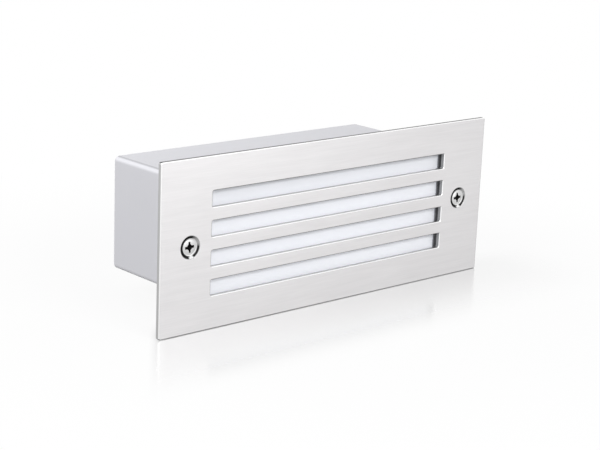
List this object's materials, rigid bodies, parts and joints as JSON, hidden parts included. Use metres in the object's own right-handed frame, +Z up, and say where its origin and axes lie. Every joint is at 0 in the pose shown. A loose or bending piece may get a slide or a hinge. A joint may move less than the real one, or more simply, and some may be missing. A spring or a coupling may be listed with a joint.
{
  "type": "step light",
  "caption": "Recessed wall or step light: slotted stainless faceplate screwed to a box that holds the lamp board, driver and cable entry.",
  "frame": {"origin": "centre of the wall plane, on the back of the foam seal behind the faceplate", "axes": "+X along the faceplate to the right seen from the front, -Y out of the wall towards the viewer, +Z up"},
  "size_m": [0.205, 0.0878, 0.08],
  "materials": {
    "brushed_plate": "horizontal brushed grain",
    "face_screw_steel": "bright, lightly worn",
    "grey_casting_paint": "satin powder coat",
    "opal_plastic": "opal, satin",
    "black_rubber": "matt",
    "foam_rubber": "fine closed-cell foam",
    "white_tray_paint": "satin white",
    "white_board": "solder resist",
    "lamp_phosphor": "yellow phosphor under clear resin",
    "ivory_nylon": "moulded",
    "zinc_screw": "zinc plated",
    "driver_case_plastic": "fine moulded texture",
    "green_board": "solder resist",
    "transformer_tape": "taped ferrite",
    "capacitor_sleeve": "shrink sleeve",
    "brass": "machined",
    "lead_brown": "PVC",
    "lead_blue": "PVC",
    "lead_green_yellow": "striped PVC",
    "lead_thin": "PVC",
    "gland_nylon": "moulded nylon"
  },
  "bodies": {
    "light_body": {"front_gasket": "black_rubber", "diffuser": "opal_plastic", "housing": "grey_casting_paint", "gear_tray": "white_tray_paint", "gear_tray_screws": "zinc_screw", "tray_grommet": "black_rubber", "lamp_board": "white_board", "lamp_chips": "lamp_phosphor", "lamp_connector": "ivory_nylon", "lamp_board_screws": "zinc_screw", "driver_base": "driver_case_plastic", "driver_lid": "driver_case_plastic", "driver_board": "green_board", "driver_transformer": "transformer_tape", "driver_capacitors": "capacitor_sleeve", "driver_screws": "zinc_screw", "terminal_block": "ivory_nylon", "terminal_clamps": "brass", "terminal_clamp_screws": "zinc_screw", "terminal_fixing_screws": "zinc_screw", "earth_screw": "brass", "earth_washer": "zinc_screw", "earth_tag": "brass", "live_lead": "lead_brown", "neutral_lead": "lead_blue", "earth_lead": "lead_green_yellow", "lamp_leads": "lead_thin", "gland_body": "gland_nylon", "gland_seal_ring": "black_rubber", "gland_locknut": "gland_nylon", "gland_insert": "black_rubber"},
    "cover": {"faceplate": "brushed_plate", "wall_seal": "foam_rubber"},
    "left_screw": {"face_screw_left": "face_screw_steel"},
    "right_screw": {"face_screw_right": "face_screw_steel"},
    "gland_nut": {"gland_dome_nut": "gland_nylon"}
  },
  "joints": [
    {"name": "cover_pull", "type": "slide", "parent": "light_body", "child": "cover", "axis": [0, -1, 0], "range_m": [0, 0.06]},
    {"name": "left_screw_turn", "type": "hinge", "parent": "cover", "child": "left_screw", "pos_m": [-0.086, 0, 0], "axis": [0, -1, 0], "continuous": true},
    {"name": "right_screw_turn", "type": "hinge", "parent": "cover", "child": "right_screw", "pos_m": [0.086, 0, 0], "axis": [0, -1, 0], "continuous": true},
    {"name": "gland_nut_turn", "type": "hinge", "parent": "light_body", "child": "gland_nut", "pos_m": [0.054, 0, 0], "axis": [0, 1, 0], "continuous": true}
  ]
}
